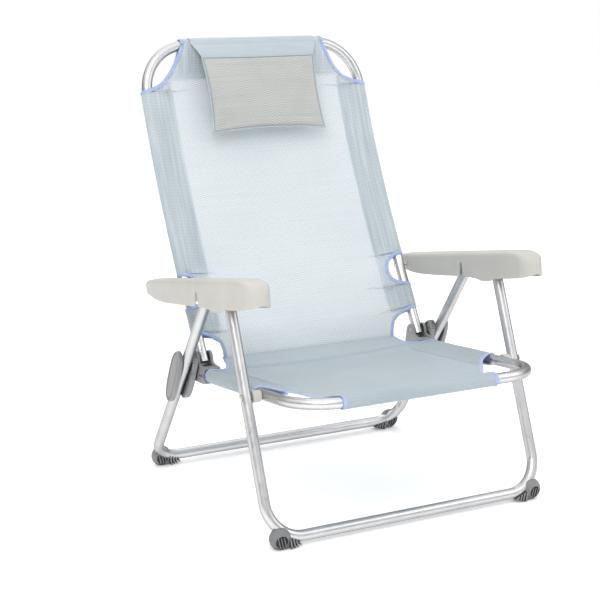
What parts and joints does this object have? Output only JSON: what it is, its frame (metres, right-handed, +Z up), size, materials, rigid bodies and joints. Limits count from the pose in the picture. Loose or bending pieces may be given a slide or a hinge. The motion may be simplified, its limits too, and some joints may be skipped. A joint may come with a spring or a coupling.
{
  "type": "folding beach chair",
  "caption": "Low folding beach chair with an aluminium tube frame, reclining sling back, headrest pillow, plastic armrests and hinge forks.",
  "frame": {"origin": "on the floor, in the symmetry plane, midway between the front and the rear floor bars", "axes": "+Z up, +X to the right seen from the front, the chair faces -Y"},
  "size_m": [0.62, 0.7059, 0.8263],
  "materials": {
    "anodised_tube": "satin anodised",
    "steel_rivet": "satin",
    "light_plastic": "fine moulded texture",
    "grey_plastic": "moulded",
    "foot_plastic": "moulded",
    "mesh_cloth": "woven mesh",
    "pillow_cloth": "padded weave"
  },
  "bodies": {
    "seat": {"seat_frame": "anodised_tube", "seat_fabric": "mesh_cloth", "hinge_fork_left": "grey_plastic", "hinge_fork_right": "grey_plastic", "front_spacer_left": "grey_plastic", "front_spacer_right": "grey_plastic", "front_pivot_rivet_left": "steel_rivet", "front_pivot_rivet_right": "steel_rivet", "rear_pivot_rivet_left": "steel_rivet", "rear_pivot_rivet_right": "steel_rivet", "hinge_rivet_left": "steel_rivet", "hinge_rivet_right": "steel_rivet"},
    "backrest": {"backrest_frame": "anodised_tube", "backrest_fabric": "mesh_cloth", "headrest_pillow": "pillow_cloth", "pillow_flap": "mesh_cloth", "armrest_rear_rivet_left": "steel_rivet", "armrest_rear_rivet_right": "steel_rivet"},
    "front_leg": {"front_leg_frame": "anodised_tube", "foot_front_left": "foot_plastic", "foot_front_right": "foot_plastic"},
    "rear_leg": {"rear_leg_frame": "anodised_tube", "rear_bracket_inner_left": "grey_plastic", "rear_bracket_inner_right": "grey_plastic", "rear_bracket_outer_left": "grey_plastic", "rear_bracket_outer_right": "grey_plastic", "rack_pin_left": "steel_rivet", "rack_pin_right": "steel_rivet", "foot_rear_left": "foot_plastic", "foot_rear_right": "foot_plastic"},
    "armrest_left": {"armrest_left": "light_plastic", "armrest_front_rivet_left": "steel_rivet"},
    "armrest_right": {"armrest_right": "light_plastic", "armrest_front_rivet_right": "steel_rivet"}
  },
  "joints": [
    {"name": "backrest_hinge", "type": "hinge", "parent": "seat", "child": "backrest", "pos_m": [0, 0.1096, 0.2505], "axis": [1, 0, 0], "range_deg": [-25, 108]},
    {"name": "front_leg_hinge", "type": "hinge", "parent": "seat", "child": "front_leg", "pos_m": [0, -0.1545, 0.2475], "axis": [1, 0, 0], "range_deg": [0, 96]},
    {"name": "rear_leg_hinge", "type": "hinge", "parent": "seat", "child": "rear_leg", "pos_m": [0, 0.113, 0.2205], "axis": [1, 0, 0], "range_deg": [0, 46.2]},
    {"name": "armrest_left_hinge", "type": "hinge", "parent": "front_leg", "child": "armrest_left", "pos_m": [-0.285, -0.0836, 0.4195], "axis": [1, 0, 0], "range_deg": [-86.5, 0]},
    {"name": "armrest_right_hinge", "type": "hinge", "parent": "front_leg", "child": "armrest_right", "pos_m": [0.285, -0.0836, 0.4195], "axis": [1, 0, 0], "range_deg": [-86.5, 0]}
  ],
  "couplings": [
    {"joint": "rear_leg_hinge", "follows": "front_leg_hinge", "ratio": 0.48},
    {"joint": "armrest_left_hinge", "follows": "front_leg_hinge", "ratio": -0.9},
    {"joint": "armrest_right_hinge", "follows": "front_leg_hinge", "ratio": -0.9}
  ]
}
